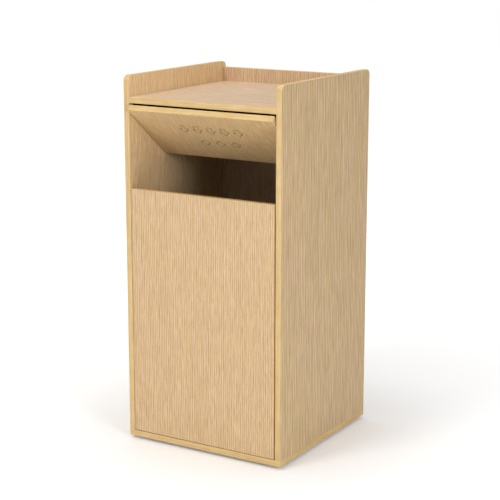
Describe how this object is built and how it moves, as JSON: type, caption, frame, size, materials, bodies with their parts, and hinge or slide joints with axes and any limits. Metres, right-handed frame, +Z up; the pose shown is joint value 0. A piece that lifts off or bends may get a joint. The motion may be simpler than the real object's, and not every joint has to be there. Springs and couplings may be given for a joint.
{
  "type": "drop box cabinet",
  "caption": "Board cabinet with a tray top, a push-in flap over a full-height drop chamber and a side-hung door onto a removable bin.",
  "frame": {"origin": "on the floor, at the middle of the cabinet's square footprint", "axes": "+X to the right seen from the front, +Y to the back, +Z up; the door faces -Y"},
  "size_m": [0.5588, 0.5725, 1.1684],
  "materials": {
    "laminate_side": "matt laminate, vertical grain",
    "laminate_back": "matt laminate, vertical grain",
    "laminate_base": "matt laminate, grain left to right",
    "laminate_shelf": "matt laminate, grain left to right",
    "laminate_door": "matt laminate, vertical grain",
    "laminate_flap": "matt laminate, grain along its height",
    "edge_band": "satin edge banding",
    "beech": "sanded",
    "zinc_plated_steel": "zinc plated",
    "zinc_casting": "nickel-plated casting",
    "bright_steel": "ground",
    "white_nylon": "moulded",
    "brown_plastic": "moulded",
    "ferrite_magnet": "sintered",
    "black_rubber": "matt",
    "bin_plastic": "fine moulded texture"
  },
  "bodies": {
    "cabinet": {"left_side_panel": "laminate_side", "right_side_panel": "laminate_side", "back_panel": "laminate_back", "base_panel": "laminate_base", "top_shelf": "laminate_shelf", "left_side_edge_band": "edge_band", "right_side_edge_band": "edge_band", "base_edge_band": "edge_band", "back_edge_band": "edge_band", "top_shelf_edge_band": "edge_band", "wood_dowels": "beech", "flap_stop_rail": "beech", "door_stop_block": "beech", "confirmat_screws": "zinc_plated_steel", "cam_bolts": "zinc_plated_steel", "flap_rail_screws": "zinc_plated_steel", "hinge_leaf_screws": "zinc_plated_steel", "catch_screws": "zinc_plated_steel", "door_stop_screws": "zinc_plated_steel", "glide_screws": "zinc_plated_steel", "catch_pole_plates": "zinc_plated_steel", "cam_locks": "zinc_casting", "hinge_leaves": "zinc_casting", "flap_pin_left": "bright_steel", "flap_pin_right": "bright_steel", "glides": "white_nylon", "catch_housing": "brown_plastic", "catch_magnet": "ferrite_magnet", "flap_stop_strip": "black_rubber", "door_stop_bumper": "black_rubber"},
    "door": {"door_panel": "laminate_door", "door_edge_band": "edge_band", "hinge_housings": "zinc_casting", "hinge_housing_screws": "zinc_plated_steel", "hinge_pins": "bright_steel", "strike_plate": "zinc_plated_steel", "strike_screw": "zinc_plated_steel"},
    "flap": {"flap_panel": "laminate_flap", "flap_edge_band": "edge_band", "flap_bush_left": "white_nylon", "flap_bush_right": "white_nylon"},
    "bin": {"collection_bin": "bin_plastic"}
  },
  "joints": [
    {"name": "flap_swing", "type": "hinge", "parent": "cabinet", "child": "flap", "pos_m": [0, -0.26987, 1.05835], "axis": [1, 0, 0], "range_deg": [-52, 26]},
    {"name": "door_swing", "type": "hinge", "parent": "cabinet", "child": "door", "pos_m": [-0.23835, -0.2729, 0.42505], "axis": [0, 0, -1], "range_deg": [0, 90]},
    {"name": "bin_lift", "type": "slide", "parent": "cabinet", "child": "bin", "axis": [0, 0, 1], "range_m": [0, 0.12]}
  ]
}
